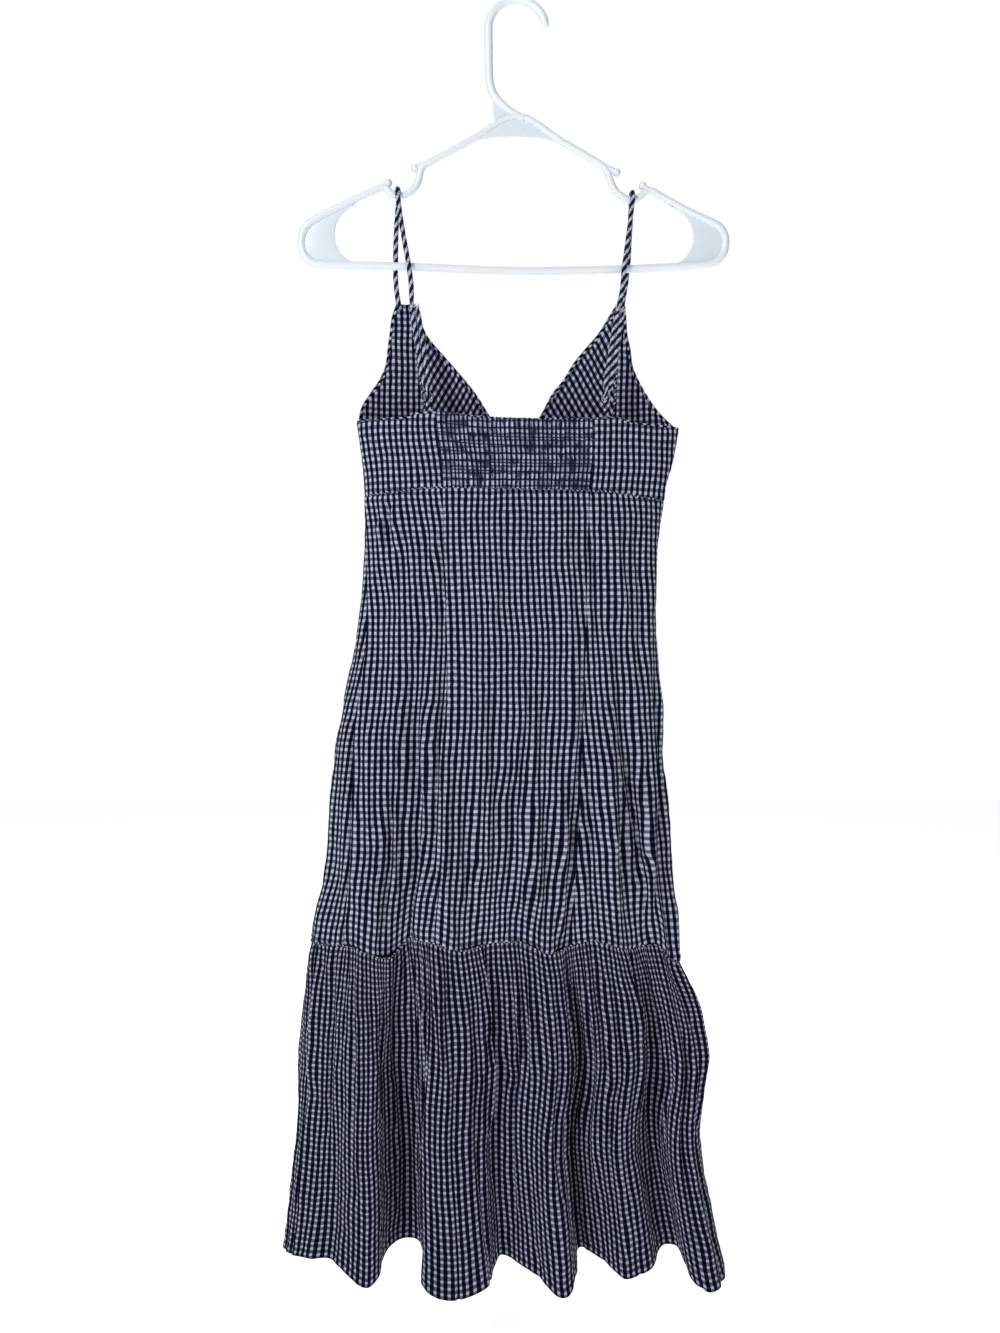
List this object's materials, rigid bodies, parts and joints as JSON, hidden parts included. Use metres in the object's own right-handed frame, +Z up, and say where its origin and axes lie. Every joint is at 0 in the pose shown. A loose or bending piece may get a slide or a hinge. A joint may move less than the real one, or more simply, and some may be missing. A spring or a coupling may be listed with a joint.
{
  "type": "midi dress on a hanger",
  "caption": "Sleeveless midi dress in small-check cotton with rouleau straps, shirred back and gathered hem tier, hanging on a moulded plastic hanger.",
  "frame": {"origin": "inner top of the hanger's hook, where a nail or rail holds it", "axes": "+Z up, +X towards the wearer's right, -Y out of the dress's back"},
  "size_m": [0.4506, 0.136, 1.2829],
  "materials": {
    "cotton": "light crinkled cotton in a small dark navy and white check",
    "hanger_plastic": "glossy translucent white",
    "clear_plastic": "clear glossy"
  },
  "bodies": {
    "root": {"back_shirred": "cotton", "back_side_left": "cotton", "back_side_right": "cotton", "cup_left": "cotton", "cup_right": "cotton", "front_side_left": "cotton", "front_side_right": "cotton", "ruffle_back": "cotton", "ruffle_front": "cotton", "skirt_back": "cotton", "skirt_back_side_left": "cotton", "skirt_back_side_right": "cotton", "skirt_front": "cotton", "skirt_front_side_left": "cotton", "skirt_front_side_right": "cotton", "strap_left": "cotton", "strap_right": "cotton", "tab_left": "cotton", "tab_right": "cotton", "ring_left": "clear_plastic", "ring_right": "clear_plastic", "slider_left": "clear_plastic", "slider_right": "clear_plastic", "hanger": "hanger_plastic"}
  },
  "joints": []
}
